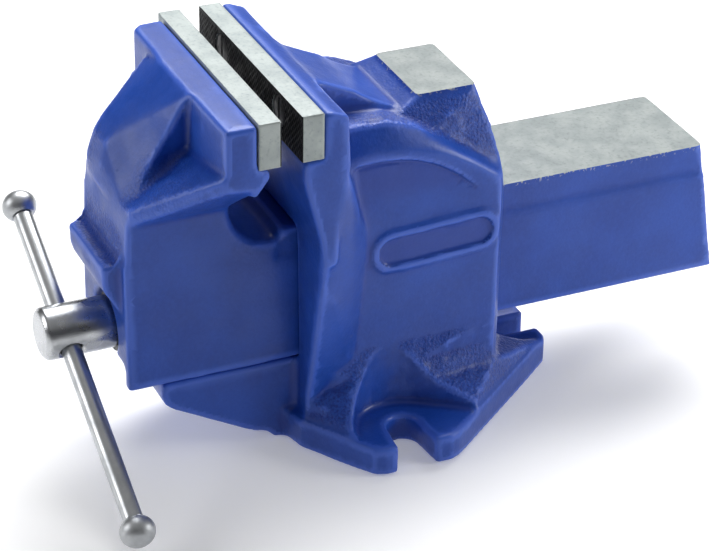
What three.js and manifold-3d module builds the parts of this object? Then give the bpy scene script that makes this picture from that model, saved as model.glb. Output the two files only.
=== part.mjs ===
// Bench vise with anvil, 100 mm jaws: fixed body, sliding jaw, screw train and tommy bar.
// Millimetres. X = jaw width, Y = clamping axis (handle at -Y, slide tail at +Y), Z up.
// The origin is on the underside of the base, on the cross web between the two floor pockets.
// The vise stands with its jaws open by REST_GAP.
import * as THREE from 'three';
import { ConvexGeometry } from 'three/addons/geometries/ConvexGeometry.js';
import { mergeVertices } from 'three/addons/utils/BufferGeometryUtils.js';
import Module from 'manifold-3d';

const wasm = await Module();
wasm.setup();

// ---------- driving dimensions ----------
const FIT = 0.3;                 // clearance left between two resting pieces
const JAW_TOP_Z = 148;           // jaw tops above the base underside
const JAW_HALF = 50;             // half of the 100 mm jaw width
const PLATE_THICK = 8.8;
const PLATE_HEIGHT = 18;
const REST_GAP = 7.7;
const SLIDING_SEAT_Y = -75;      // casting face behind the sliding plate
const FIXED_GRIP_Y = SLIDING_SEAT_Y + PLATE_THICK + REST_GAP;
const FIXED_SEAT_Y = FIXED_GRIP_Y + PLATE_THICK;
const PLATE_BOTTOM_Z = JAW_TOP_Z - PLATE_HEIGHT;

const SCREW_X = 27.5;             // jaw plate screws, from the middle of the jaw
const SCREW_Z = 140;
const SCREW_SHANK_R = 2.9;
const SCREW_HEAD_R = 5.4;
const SCREW_HEAD_DEEP = 3.2;
const SCREW_SINK = 0.5;
const SCREW_RIM = 0.4;
const SCREW_LENGTH = 17;
const SCREW_SLOT = 1.3;

const SLIDE_TOP_Z = 89.1;
const SLIDE_STEP_Z = 76.4;
const SLIDE_BOTTOM_Z = 34.4;
const SLIDE_TOP_HALF = 23.1;
const SLIDE_STEP_HALF = 23.9;
const SLIDE_BOTTOM_HALF = 24.8;
const SLIDE_FRONT_Y = -116;
const SLIDE_REAR_TOP_Y = 121;
const SLIDE_REAR_BOTTOM_Y = 129;
const STEP_FRONT_Y = -58;
const SLIDE_HOLLOW_HALF = 16.8;
const SLIDE_HOLLOW_TOP_Z = 79.5;
const FRONT_WALL_Y = -98;        // inner face of the slide's front wall
const FRONT_WALL_BOTTOM_Z = 42.8;
const SKIRT_HALF = 20;

const TUNNEL_HALF = 25.3;
const TUNNEL_FLOOR_Z = 34;
const TUNNEL_TOP_Z = 89.6;
const BODY_HALF = 35;
const BODY_FRONT_Y = -49.5;
const BODY_REAR_Y = 31;
const FLANGE_Z = 11.5;
const FLOOR_POCKET_Z = 24;

const ANVIL_HALF = 18.4;
const ANVIL_Z = 131.5;
const ANVIL_FRONT_Y = 0.9;
const ANVIL_REAR_Y = 23.9;

const AXIS_Z = 51.3;             // spindle axis
const HEAD_R = 10;
const HEAD_FRONT_Y = -141.5;
const HEAD_CHAMFER = 1.6;
const SHOULDER_Y = -114.2;
const COUNTERBORE_R = 12.6;
const COUNTERBORE_Y = -112;
const SHAFT_R = 7;
const SHAFT_END_Y = 100;
const BORE_R = 7.35;
const NUT_FRONT_Y = -44;
const NUT_REAR_Y = -8;
const NUT_BOLT_Y = [-36, -18];
const BOLT_HEAD_TOP_Z = 21.6;
const BOLT_HEAD_DEEP = 5.3;

const PIN_Y = -80.6;             // cross pin that holds the spring collar
const COLLAR_Y = -84.9;
const SPRING_FRONT_Y = -97.6;
const SPRING_R = 9.2;
const SPRING_WIRE = 0.95;
const SPRING_TURNS = 4;
const SPRING_PITCH = 2.7;

const BAR_Y = -131.9;
const BAR_R = 3.75;
const BAR_TILT = THREE.MathUtils.degToRad(28.3);
const BAR_UP = 56.3;             // axis to the middle of the upper knob
const BAR_DOWN = 86.1;           // axis to the middle of the lower knob
const KNOB_R = 5.8;
const KNOB_FLAT = 4.6;           // knob middle to its flat shoulder
const SPIGOT_R = 2.6;            // bar ends turned down for the knobs

// ---------- colours ----------
function material(color, roughness, metalness) {
  return new THREE.MeshStandardMaterial({ color, roughness, metalness });
}
const BLUE_PAINT = material(0x2b46a8, 0.35, 0.1);
const STEEL = material(0xb9bdbf, 0.25, 1.0);
const PLATE_STEEL = material(0x9aa09c, 0.45, 1.0);
const DARK_STEEL = material(0x3a3d40, 0.5, 1.0);
const NUT_IRON = material(0x6b6f70, 0.6, 0.9);

// ---------- solids ----------
function toSolid(source) {
  const geometry = source.index ? source.clone() : source;
  geometry.deleteAttribute('normal');
  geometry.deleteAttribute('uv');
  const merged = mergeVertices(geometry, 1e-4);
  const mesh = new wasm.Mesh({
    numProp: 3,
    vertProperties: new Float32Array(merged.attributes.position.array),
    triVerts: new Uint32Array(merged.index.array),
  });
  return new wasm.Manifold(mesh);
}

function toGeometry(solid) {
  const mesh = solid.getMesh();
  const geometry = new THREE.BufferGeometry();
  geometry.setAttribute('position', new THREE.BufferAttribute(new Float32Array(mesh.vertProperties), 3));
  geometry.setIndex(new THREE.BufferAttribute(new Uint32Array(mesh.triVerts), 1));
  return geometry;
}

function unite(list) {
  return list.reduce((sum, solid) => sum.add(solid));
}

function cut(solid, list) {
  return list.reduce((rest, tool) => rest.subtract(tool), solid);
}

function flatShape(points) {
  return new THREE.Shape(points.map(([u, v]) => new THREE.Vector2(u, v)));
}

// a (y, z) outline swept along X from x0 to x1
function sweepX(points, x0, x1) {
  const geometry = new THREE.ExtrudeGeometry(flatShape(points), { depth: x1 - x0, bevelEnabled: false });
  const turn = new THREE.Matrix4().makeBasis(
    new THREE.Vector3(0, 1, 0), new THREE.Vector3(0, 0, 1), new THREE.Vector3(1, 0, 0));
  geometry.applyMatrix4(turn);
  geometry.translate(x0, 0, 0);
  return toSolid(geometry);
}

// an (x, z) outline swept along Y from y0 to y1
function sweepY(points, y0, y1) {
  const geometry = new THREE.ExtrudeGeometry(flatShape(points), { depth: y1 - y0, bevelEnabled: false });
  const turn = new THREE.Matrix4().makeBasis(
    new THREE.Vector3(1, 0, 0), new THREE.Vector3(0, 0, 1), new THREE.Vector3(0, -1, 0));
  geometry.applyMatrix4(turn);
  geometry.translate(0, y1, 0);
  return toSolid(geometry);
}

// an (x, y) outline swept along Z from z0 to z1
function sweepZ(points, z0, z1) {
  const geometry = new THREE.ExtrudeGeometry(flatShape(points), { depth: z1 - z0, bevelEnabled: false });
  geometry.translate(0, 0, z0);
  return toSolid(geometry);
}

function box(x0, x1, y0, y1, z0, z1) {
  const geometry = new THREE.BoxGeometry(x1 - x0, y1 - y0, z1 - z0);
  geometry.translate((x0 + x1) / 2, (y0 + y1) / 2, (z0 + z1) / 2);
  return toSolid(geometry);
}

function hull(points) {
  return toSolid(new ConvexGeometry(points.map(([x, y, z]) => new THREE.Vector3(x, y, z))));
}

// the same points on both sides of the middle plane
function bothSides(points) {
  return points.flatMap(([x, y, z]) => [[x, y, z], [-x, y, z]]);
}

function tubeY(radius, y0, y1, x = 0, z = AXIS_Z, sides = 32) {
  const geometry = new THREE.CylinderGeometry(radius, radius, y1 - y0, sides);
  geometry.translate(x, (y0 + y1) / 2, z);
  return toSolid(geometry);
}

function tubeZ(radius, z0, z1, x, y, sides = 32) {
  const geometry = new THREE.CylinderGeometry(radius, radius, z1 - z0, sides);
  geometry.rotateX(Math.PI / 2);
  geometry.translate(x, y, (z0 + z1) / 2);
  return toSolid(geometry);
}

// a turned piece: (radius, height) outline about local Y
function turned(outline, sides) {
  return new THREE.LatheGeometry(outline.map(([r, h]) => new THREE.Vector2(r, h)), sides);
}

function ring(innerR, outerR, thick, sides = 32) {
  const outline = [[innerR, 0], [outerR, 0], [outerR, thick], [innerR, thick], [innerR, 0]];
  return turned(outline, sides);
}

function circle(cx, cy, radius, count = 24) {
  const points = [];
  for (let i = 0; i < count; i += 1) {
    const angle = (2 * Math.PI * i) / count;
    points.push([cx + radius * Math.cos(angle), cy + radius * Math.sin(angle)]);
  }
  return points;
}

// upright column over the hull of two circles
function slotColumn(from, to, radius, z0, z1) {
  const rim = [...circle(from[0], from[1], radius), ...circle(to[0], to[1], radius)];
  return hull(rim.flatMap(([x, y]) => [[x, y, z0], [x, y, z1]]));
}

// ---------- jaw plate and its screws ----------
// side is +1 when the gripping face looks to +Y, -1 when it looks to -Y
function countersink(x, gripY, side, extra) {
  const headR = SCREW_HEAD_R + extra;
  const shankR = SCREW_SHANK_R + extra;
  const outline = [
    [0, -1],
    [headR, -1],
    [headR, SCREW_SINK + SCREW_RIM + extra],
    [shankR, SCREW_HEAD_DEEP + SCREW_SINK + extra],
    [shankR, SCREW_LENGTH + 3 * extra],
    [0, SCREW_LENGTH + 3 * extra],
  ];
  const geometry = turned(outline, 24);
  if (side > 0) geometry.rotateX(Math.PI);
  geometry.translate(x, gripY, SCREW_Z);
  return toSolid(geometry);
}

function plateScrew(x, gripY, side) {
  const outline = [
    [0, SCREW_SINK],
    [SCREW_HEAD_R, SCREW_SINK],
    [SCREW_HEAD_R, SCREW_SINK + SCREW_RIM],
    [SCREW_SHANK_R, SCREW_HEAD_DEEP + SCREW_SINK],
    [SCREW_SHANK_R, SCREW_LENGTH - 0.8],
    [SCREW_SHANK_R - 0.8, SCREW_LENGTH],
    [0, SCREW_LENGTH],
  ];
  const geometry = turned(outline, 24);
  if (side > 0) geometry.rotateX(Math.PI);
  geometry.translate(x, gripY, SCREW_Z);
  const slotY = gripY - side * SCREW_SINK;
  const slot = box(
    x - SCREW_SLOT / 2, x + SCREW_SLOT / 2,
    Math.min(slotY - side * 1.6, slotY + side), Math.max(slotY - side * 1.6, slotY + side),
    SCREW_Z - 8, SCREW_Z + 8);
  return toSolid(geometry).subtract(slot);
}

function jawPlate(y0, gripY, side) {
  const plate = box(-JAW_HALF, JAW_HALF, y0, y0 + PLATE_THICK - FIT, PLATE_BOTTOM_Z, JAW_TOP_Z);
  return cut(plate, [-SCREW_X, SCREW_X].map((x) => countersink(x, gripY, side, FIT)));
}

const SLIDING_GRIP_Y = SLIDING_SEAT_Y + PLATE_THICK;
const slidingPlate = jawPlate(SLIDING_SEAT_Y + FIT, SLIDING_GRIP_Y, 1);
const fixedPlate = jawPlate(FIXED_GRIP_Y, FIXED_GRIP_Y, -1);

// ---------- fixed body ----------
const BASE_OUTLINE = [
  [17, -65], [20, -57], [27, -53.6], [34.5, -52], [49.6, -42.3], [62.4, -33.8], [64.2, -29],
  [64.2, -3], [62.5, 1], [59.6, 5], [52.5, 14], [34, 37.4], [15.5, 60.5], [12.5, 61.8],
];

function mirrored(outline) {
  return [...outline, ...outline.map(([x, y]) => [-x, y]).reverse()];
}

function atHeight(outline, z, inset = 0) {
  return outline.map(([x, y]) => [x > 0 ? x - inset : x + inset, y, z]);
}

function baseFlange() {
  return sweepZ(mirrored(BASE_OUTLINE), 0, FLANGE_Z);
}

// the foot swells from the body sides down to the flange in three slopes
function foot() {
  const edge = atHeight(mirrored(BASE_OUTLINE).filter(([, y]) => y > -53), FLANGE_Z - 1, 0.6);
  const low = bothSides([
    [33.4, -49.5, 14], [44, -40, 16], [43, -34, 18.5], [43, -6, 23.5], [36, 28, 21], [14, 40, 17],
  ]);
  const middle = bothSides([
    [33.2, -49.5, 20], [37.6, -31, 28], [38.6, -8, 30], [34, 27, 29], [20, 34, 26],
  ]);
  const high = bothSides([[33, -49.5, 30], [35, -29, 38], [35, 22, 38], [29, 31, 38]]);
  return unite([hull([...edge, ...low]), hull([...low, ...middle]), hull([...middle, ...high])]);
}

function bodyTrunk() {
  // outline of the side face, then the rounded shoulder above it
  const shoulder = [
    [35, -34, 118.2], [35, -24, 119.6], [35, -16, 119.2], [35, -5, 117.3], [35, 6, 113.8], [35, 20, 106.5],
    [35, 28, 100.4],
  ];
  const ridge = [
    [30, -34, 129.4], [30, -16, 128.9], [30, -5, 125.1], [30, 4, 119.8], [30, 16, 111.1], [30, 29, 101.6],
  ];
  const ground = [[33, BODY_FRONT_Y, 10], [35, -29, 10], [35, 27, 10], [31, BODY_REAR_Y, 10]];
  const neck = [[33, BODY_FRONT_Y, 112], [31, BODY_REAR_Y, 98.5], [33, BODY_FRONT_Y, 60]];
  return hull(bothSides([...shoulder, ...ridge, ...ground, ...neck]));
}

// web from the jaw block down to the front of the anvil
function backWeb() {
  return sweepX([
    [-48, 100], [1.2, 100], [1.2, 131.2], [-1, 129.2], [-3.6, 127.9], [-7, 127.6], [-13, 130.2],
    [-19, 133.2], [-24, 136.6], [-32, 140.2], [-40, 144], [-48, 146],
  ], -17.6, 17.6);
}

function anvil() {
  return hull(bothSides([
    [ANVIL_HALF, ANVIL_FRONT_Y, ANVIL_Z], [ANVIL_HALF, ANVIL_REAR_Y, ANVIL_Z],
    [ANVIL_HALF + 0.4, ANVIL_FRONT_Y - 0.6, ANVIL_Z - 3],
    [ANVIL_HALF + 0.8, ANVIL_REAR_Y + 0.9, ANVIL_Z - 3],
    [25.5, 27.8, 116.7], [30.5, 30.9, 103], [31, BODY_REAR_Y, 98.5], [29.5, 0, 119],
    [27, -20, 122], [29.5, -30, 118],
  ]));
}

// jaw block behind the fixed plate, and the flared cheek that carries it
function jawBlock() {
  const block = sweepX([
    [FIXED_SEAT_Y, PLATE_BOTTOM_Z - 12], [FIXED_SEAT_Y, 147.6], [-46.5, 147.3], [-40.3, 144.8],
    [-39.4, 122], [-41, 116],
  ], -JAW_HALF, JAW_HALF);
  const ledge = sweepX([
    [-57.2, 122.4], [-57.2, PLATE_BOTTOM_Z - FIT], [-44, PLATE_BOTTOM_Z - FIT], [-44, 86],
    [BODY_FRONT_Y, 86], [-50.6, 96], [-53.2, 106], [-55.4, 114.6],
  ], -JAW_HALF, JAW_HALF);
  const cheek = hull(bothSides([
    [50, -50, 121.5], [50, -40, 121.5], [50, -49.5, 86], [44.5, -49.5, 61], [38.9, -49.5, 40],
    [33, -49.5, 12], [35, -33.8, 112], [35, -26.3, 87.6], [35, -27.6, 67], [35, -29, 50], [35, -31.5, 33],
  ]));
  return unite([block, ledge, cheek]);
}

// shelf under the slide in front of the body
function nose() {
  return sweepX([
    [-102.5, TUNNEL_FLOOR_Z], [-103, 28.5], [-101.5, 24.5], [-98.5, 22], [-68.5, 5.6], [-61, 3.2],
    [-58, 0], [-45, 0], [-45, TUNNEL_FLOOR_Z],
  ], -24.3, 24.3);
}

// raised blank panel with rounded ends on each side of the body
function sidePanel(side) {
  const rise = 1.1;
  const half = 8.2;
  const from = [-15.9, 77.6];
  const to = [19.2, 79.4];
  const rim = [...circle(from[0], from[1], half, 20), ...circle(to[0], to[1], half, 20)];
  const inner = BODY_HALF - 1;
  const outer = BODY_HALF + rise;
  return hull(rim.flatMap(([y, z]) => [[side * inner, y, z], [side * outer, y, z]]));
}

function floorPockets() {
  const front = [[-16, -52], [16, -52], [19, -47], [19, -7], [-19, -7], [-19, -47]];
  const rear = [[-19, 7], [19, 7], [19, 20], [12, 27], [-12, 27], [-19, 20]];
  return [front, rear].map((outline) => sweepZ(outline, -1, FLOOR_POCKET_Z));
}

function fastenerCuts() {
  const cuts = [];
  for (const side of [-1, 1]) {
    const seatAt = [side * 55, -18];
    const seatTail = [side * 69, 3];
    cuts.push(slotColumn(seatAt, seatTail, 20, FLANGE_Z, 70));
    const slot = [[side * 50.5, -23.6], [side * 66, -25], [side * 66, -9], [side * 50.5, -10.4]];
    cuts.push(sweepZ(side > 0 ? slot : slot.reverse(), -1, FLANGE_Z + 1));
    cuts.push(tubeZ(6.6, -1, FLANGE_Z + 1, side * 50.5, -17, 28));
  }
  cuts.push(slotColumn([0, 50], [0, 72], 15.5, FLANGE_Z, 50));
  cuts.push(slotColumn([0, 50], [0, 72], 6, -1, FLANGE_Z + 1));
  return cuts;
}

function tunnel() {
  return sweepY([
    [-TUNNEL_HALF, TUNNEL_FLOOR_Z], [TUNNEL_HALF, TUNNEL_FLOOR_Z],
    [TUNNEL_HALF - 0.9, SLIDE_STEP_Z], [SLIDE_TOP_HALF + 0.5, TUNNEL_TOP_Z],
    [-SLIDE_TOP_HALF - 0.5, TUNNEL_TOP_Z], [-TUNNEL_HALF + 0.9, SLIDE_STEP_Z],
  ], -110, 60);
}

function fixedBody() {
  const mass = unite([
    bodyTrunk(), backWeb(), anvil(), jawBlock(), nose(), foot(), baseFlange(), sidePanel(1), sidePanel(-1),
  ]);
  const tools = [tunnel(), ...floorPockets(), ...fastenerCuts()];
  for (const x of [-SCREW_X, SCREW_X]) {
    tools.push(countersink(x, FIXED_GRIP_Y, -1, FIT));
  }
  for (const y of NUT_BOLT_Y) {
    tools.push(tubeZ(4.5, 10, 40, 0, y, 20));
  }
  return cut(mass, tools);
}

// ---------- sliding jaw ----------
// behind STEP_FRONT_Y the slide is machined slightly narrower along its top
function slideBar() {
  const wide = [
    [-SLIDE_BOTTOM_HALF, SLIDE_BOTTOM_Z], [SLIDE_BOTTOM_HALF, SLIDE_BOTTOM_Z],
    [SLIDE_STEP_HALF, SLIDE_STEP_Z], [SLIDE_STEP_HALF - 0.3, SLIDE_TOP_Z],
    [-SLIDE_STEP_HALF + 0.3, SLIDE_TOP_Z], [-SLIDE_STEP_HALF, SLIDE_STEP_Z],
  ];
  const stepped = [
    [-SLIDE_BOTTOM_HALF, SLIDE_BOTTOM_Z], [SLIDE_BOTTOM_HALF, SLIDE_BOTTOM_Z],
    [SLIDE_STEP_HALF, SLIDE_STEP_Z], [SLIDE_TOP_HALF, SLIDE_STEP_Z], [SLIDE_TOP_HALF, SLIDE_TOP_Z],
    [-SLIDE_TOP_HALF, SLIDE_TOP_Z], [-SLIDE_TOP_HALF, SLIDE_STEP_Z], [-SLIDE_STEP_HALF, SLIDE_STEP_Z],
  ];
  const front = sweepY(wide, SLIDE_FRONT_Y, STEP_FRONT_Y);
  const rear = sweepY(stepped, STEP_FRONT_Y - 1, SLIDE_REAR_BOTTOM_Y);
  const side = sweepX([
    [SLIDE_FRONT_Y - 2, SLIDE_BOTTOM_Z - 2], [SLIDE_REAR_BOTTOM_Y, SLIDE_BOTTOM_Z - 2],
    [SLIDE_REAR_BOTTOM_Y, SLIDE_BOTTOM_Z], [SLIDE_REAR_TOP_Y, SLIDE_TOP_Z], [-55, SLIDE_TOP_Z],
    [-56.5, 86.2], [-59, 85.4], [SLIDE_FRONT_Y - 2, 85.4],
  ], -40, 40);
  return front.add(rear).intersect(side);
}

// lower neck: the full width of the slide, with the throat radius behind it
function lowerNeck() {
  return sweepX([
    [SLIDE_FRONT_Y, 60], [-59, 60], [-59, 85.6], [-65.6, 86.5], [-70, 89.4], [-72.6, 92.6],
    [-74.6, 97], [-75.2, 102], [-75.2, 113.4], [-88, 113.2], [-103, 111.8], [-112.6, 108.6],
    [-114.4, 104], [-115.2, 92],
  ], -23.5, 23.5);
}

// central rib that carries the jaw block: a crest strip that leans to the left, and a wide right flank
const RIB_CREST = [
  [-13, -88.6, 143.8], [-9, -100.2, 133.8], [-6.4, -107.4, 128], [-5, -112, 122.4], [-4, -114.6, 115],
];
const RIB_CREST_WIDE = 13;

function rib() {
  const crest = RIB_CREST.flatMap(([x, y, z]) => [[x, y, z], [x - RIB_CREST_WIDE, y - 1, z - 1.5]]);
  const root = [
    [-12, -86, 147], [16.5, -86, 147], [-12, -88.2, 146.8], [16.5, -88.2, 146.6],
    [14, -86, 128], [8.5, -100, 117], [12, -107, 111.5], [-32, -86, 130], [-20, -104, 112],
  ];
  const skirt = [[-4, -115.4, 106], [-17, -115.4, 106], [18, -113.6, 106], [-21, -113.6, 106]];
  return hull([...crest, ...root, ...skirt]);
}

// ramp that rises from the neck's front edge to the block, as wide as the block at its top
function ramp(side, reach) {
  const rim = [[0, -114.6, 107.4], [23, -113.9, 108.1], [reach - 4, -88, 128.5], [reach, -87.4, 128.8]];
  const under = [
    [23.4, -114.2, 102.5], [23.4, -75.2, 102.5], [reach, -86.6, 124], [reach, -76, 122.6],
    [reach, -72.4, 124], [0, -75.2, 102.5], [0, -75.2, 128],
  ];
  return hull([...rim, ...under].map(([x, y, z]) => [side * x, y, z]));
}

function slidingBlock() {
  const y0 = SLIDING_SEAT_Y - 12.5;
  const plan = [
    [-45, SLIDING_SEAT_Y], [-44.8, -84.2], [-41.6, y0], [-18, y0], [20, y0], [50, y0 + 0.6],
    [JAW_HALF, SLIDING_SEAT_Y],
  ];
  const block = sweepZ(plan.reverse(), 123.6, 147.4);
  const ledge = sweepX([
    [-76, 118], [-76, PLATE_BOTTOM_Z - FIT], [-71.4, PLATE_BOTTOM_Z - FIT], [-70.2, 128], [-70.4, 125.6],
    [-72.6, 123.4],
  ], -44, 49.6);
  return unite([block, ledge, ramp(1, 50), ramp(-1, 44.5)]);
}

// small brow above the spindle head
function brow() {
  return sweepX([
    [-114, 91], [-116, 90], [-122.4, 84], [-122.6, 77.9], [-121.4, 73.6], [-116, 64.4], [-114, 62],
  ], -19, 19);
}

function slidingJaw() {
  const mass = unite([slideBar(), lowerNeck(), rib(), slidingBlock(), brow()]);
  const tools = [
    box(-SLIDE_HOLLOW_HALF, SLIDE_HOLLOW_HALF, FRONT_WALL_Y, 140, 20, SLIDE_HOLLOW_TOP_Z),
    box(-SKIRT_HALF, SKIRT_HALF, -120, FRONT_WALL_Y + 0.02, 20, FRONT_WALL_BOTTOM_Z),
    tubeY(BORE_R, -120, FRONT_WALL_Y + 1),
    tubeY(COUNTERBORE_R, -124, COUNTERBORE_Y),
  ];
  for (const x of [-SCREW_X, SCREW_X]) {
    tools.push(countersink(x, SLIDING_GRIP_Y, 1, FIT));
  }
  return cut(mass, tools);
}

// ---------- screw train ----------
function mainScrew() {
  const outline = [
    [0, HEAD_FRONT_Y], [HEAD_R - HEAD_CHAMFER, HEAD_FRONT_Y], [HEAD_R, HEAD_FRONT_Y + HEAD_CHAMFER],
    [HEAD_R, SHOULDER_Y], [SHAFT_R, SHOULDER_Y], [SHAFT_R, SHAFT_END_Y - 2],
    [SHAFT_R - 2, SHAFT_END_Y], [0, SHAFT_END_Y],
  ];
  const blank = turned(outline, 40);
  blank.translate(0, 0, AXIS_Z);
  const hole = layAlongBar(new THREE.CylinderGeometry(BAR_R + 0.45, BAR_R + 0.45, 40, 28), 0);
  const pinHole = new THREE.CylinderGeometry(1.8, 1.8, 30, 16);
  pinHole.rotateZ(Math.PI / 2);
  pinHole.translate(0, PIN_Y, AXIS_Z);
  return cut(toSolid(blank), [toSolid(hole), toSolid(pinHole)]);
}

// lays a piece turned about local Y along the bar, its +Y end towards the upper knob
function layAlongBar(geometry, distance) {
  geometry.translate(0, distance, 0);
  geometry.rotateX(Math.PI / 2);
  geometry.rotateY(BAR_TILT - Math.PI / 2);
  geometry.translate(0, BAR_Y, AXIS_Z);
  return geometry;
}

class SpringPath extends THREE.Curve {
  getPoint(t, target = new THREE.Vector3()) {
    const angle = 2 * Math.PI * SPRING_TURNS * t;
    const y = SPRING_FRONT_Y + SPRING_WIRE + SPRING_PITCH * SPRING_TURNS * t;
    return target.set(SPRING_R * Math.cos(angle), y, AXIS_Z + SPRING_R * Math.sin(angle));
  }
}

// a tube along a path, its rings joined into one skin and both ends closed with a fan
function cappedTube(path, segments, radius, sides) {
  const tube = new THREE.TubeGeometry(path, segments, radius, sides, false);
  const source = tube.attributes.position;
  const positions = [];
  const index = [];
  for (let i = 0; i <= segments; i += 1) {
    for (let k = 0; k < sides; k += 1) {
      const at = i * (sides + 1) + k;
      positions.push(source.getX(at), source.getY(at), source.getZ(at));
    }
  }
  const vertex = (i, k) => i * sides + (k % sides);
  for (let i = 0; i < segments; i += 1) {
    for (let k = 0; k < sides; k += 1) {
      index.push(vertex(i, k), vertex(i + 1, k), vertex(i, k + 1));
      index.push(vertex(i + 1, k), vertex(i + 1, k + 1), vertex(i, k + 1));
    }
  }
  for (const end of [0, segments]) {
    const middle = path.getPoint(end / segments);
    const centre = positions.length / 3;
    positions.push(middle.x, middle.y, middle.z);
    for (let k = 0; k < sides; k += 1) {
      if (end === 0) index.push(centre, vertex(end, k), vertex(end, k + 1));
      else index.push(centre, vertex(end, k + 1), vertex(end, k));
    }
  }
  const closed = new THREE.BufferGeometry();
  closed.setAttribute('position', new THREE.BufferAttribute(new Float32Array(positions), 3));
  closed.setIndex(index);
  return toSolid(closed);
}

function springPiece() {
  return cappedTube(new SpringPath(), SPRING_TURNS * 16, SPRING_WIRE, 6);
}

function ringAt(innerR, outerR, y0, thick, sides = 32) {
  const geometry = ring(innerR, outerR, thick, sides);
  geometry.translate(0, y0, AXIS_Z);
  return toSolid(geometry);
}

function splitPin() {
  const pin = new THREE.CylinderGeometry(1.5, 1.5, 22, 16);
  pin.rotateZ(Math.PI / 2);
  pin.translate(0, PIN_Y, AXIS_Z);
  return toSolid(pin);
}

function mainNut() {
  const outer = tubeY(13, NUT_FRONT_Y, NUT_REAR_Y, 0, AXIS_Z, 36);
  const pedestal = sweepY([
    [-15, TUNNEL_FLOOR_Z + FIT], [15, TUNNEL_FLOOR_Z + FIT], [15, 41.5], [12.9, 44], [12.9, AXIS_Z],
    [-12.9, AXIS_Z], [-12.9, 44], [-15, 41.5],
  ], NUT_FRONT_Y, NUT_REAR_Y);
  const tools = [tubeY(BORE_R, NUT_FRONT_Y - 1, NUT_REAR_Y + 1)];
  for (const y of NUT_BOLT_Y) {
    tools.push(tubeZ(4.3, 30, 42.4, 0, y, 20));
  }
  return cut(unite([outer, pedestal]), tools);
}

function nutBolt(y) {
  const head = new THREE.CylinderGeometry(7.4, 7.4, BOLT_HEAD_DEEP, 6);
  head.rotateX(Math.PI / 2);
  head.translate(0, y, BOLT_HEAD_TOP_Z - BOLT_HEAD_DEEP / 2);
  const shank = tubeZ(4, BOLT_HEAD_TOP_Z - 1, 42, 0, y, 20);
  return toSolid(head).add(shank);
}

function lockWasher(y) {
  const geometry = ring(4.3, 7, FLOOR_POCKET_Z - BOLT_HEAD_TOP_Z - 2 * FIT + 0.1, 28);
  geometry.rotateX(Math.PI / 2);
  geometry.translate(0, y, BOLT_HEAD_TOP_Z + 0.2);
  const washer = toSolid(geometry);
  const split = box(3, 9, y - 0.5, y + 0.5, 20, 26);
  return washer.subtract(split);
}

// ---------- tommy bar ----------
function tommyBar() {
  const low = -BAR_DOWN + KNOB_FLAT;
  const high = BAR_UP - KNOB_FLAT;
  const outline = [
    [0, low - 3], [SPIGOT_R, low - 3], [SPIGOT_R, low], [BAR_R, low], [BAR_R, high],
    [SPIGOT_R, high], [SPIGOT_R, high + 3], [0, high + 3],
  ];
  return toSolid(layAlongBar(turned(outline, 28), 0));
}

// ball end with a flat shoulder, screwed on the bar's spigot
function barKnob(distance, outward) {
  const outline = [[SPIGOT_R + FIT, -KNOB_FLAT + 0.2], [4.2, -KNOB_FLAT + 0.2]];
  for (let i = 0; i <= 8; i += 1) {
    const angle = THREE.MathUtils.degToRad(-42 + (132 * i) / 8);
    outline.push([KNOB_R * Math.cos(angle), KNOB_R * Math.sin(angle)]);
  }
  outline[outline.length - 1] = [0, KNOB_R];
  outline.push([0, -KNOB_FLAT + 3.4]);
  outline.push([SPIGOT_R + FIT, -KNOB_FLAT + 3.4]);
  outline.push([SPIGOT_R + FIT, -KNOB_FLAT + 0.2]);
  const geometry = turned(outline, 28);
  if (!outward) geometry.rotateX(Math.PI);
  return toSolid(layAlongBar(geometry, distance));
}

// ---------- assembly ----------
const vise = new THREE.Group();
vise.name = 'bench_vise';

function addPiece(name, solid, look) {
  const mesh = new THREE.Mesh(toGeometry(solid), look);
  mesh.name = name;
  vise.add(mesh);
}

addPiece('fixed_body', fixedBody(), BLUE_PAINT);
addPiece('sliding_jaw', slidingJaw(), BLUE_PAINT);
addPiece('fixed_jaw_plate', fixedPlate, PLATE_STEEL);
addPiece('sliding_jaw_plate', slidingPlate, PLATE_STEEL);
addPiece('fixed_plate_screw_left', plateScrew(-SCREW_X, FIXED_GRIP_Y, -1), DARK_STEEL);
addPiece('fixed_plate_screw_right', plateScrew(SCREW_X, FIXED_GRIP_Y, -1), DARK_STEEL);
addPiece('sliding_plate_screw_left', plateScrew(-SCREW_X, SLIDING_GRIP_Y, 1), DARK_STEEL);
addPiece('sliding_plate_screw_right', plateScrew(SCREW_X, SLIDING_GRIP_Y, 1), DARK_STEEL);
addPiece('main_screw', mainScrew(), STEEL);
addPiece('thrust_washer', ringAt(SHAFT_R + 0.4, 11.6, -113.8, 1.5), DARK_STEEL);
addPiece('screw_spring', springPiece(), DARK_STEEL);
addPiece('spring_collar', ringAt(SHAFT_R + 0.4, 11.5, COLLAR_Y, 2.2), DARK_STEEL);
addPiece('retaining_pin', splitPin(), DARK_STEEL);
addPiece('main_nut', mainNut(), NUT_IRON);
addPiece('nut_bolt_front', nutBolt(NUT_BOLT_Y[0]), DARK_STEEL);
addPiece('nut_bolt_rear', nutBolt(NUT_BOLT_Y[1]), DARK_STEEL);
addPiece('lock_washer_front', lockWasher(NUT_BOLT_Y[0]), DARK_STEEL);
addPiece('lock_washer_rear', lockWasher(NUT_BOLT_Y[1]), DARK_STEEL);
addPiece('tommy_bar', tommyBar(), STEEL);
addPiece('tommy_bar_knob_upper', barKnob(BAR_UP, true), STEEL);
addPiece('tommy_bar_knob_lower', barKnob(-BAR_DOWN, false), STEEL);

export default vise;
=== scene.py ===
"""Looks of the bench vise.

The two castings are signed distance fields made from their CAD nodes: inner corners filled, edges rounded,
a sand mould's unevenness pressed in, and machined tops cut flat again. Jaw plates, screws, spindle, spring
and tommy bar are modelled piece by piece. All lengths are in millimetres until a mesh is made.
"""
import math

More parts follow.
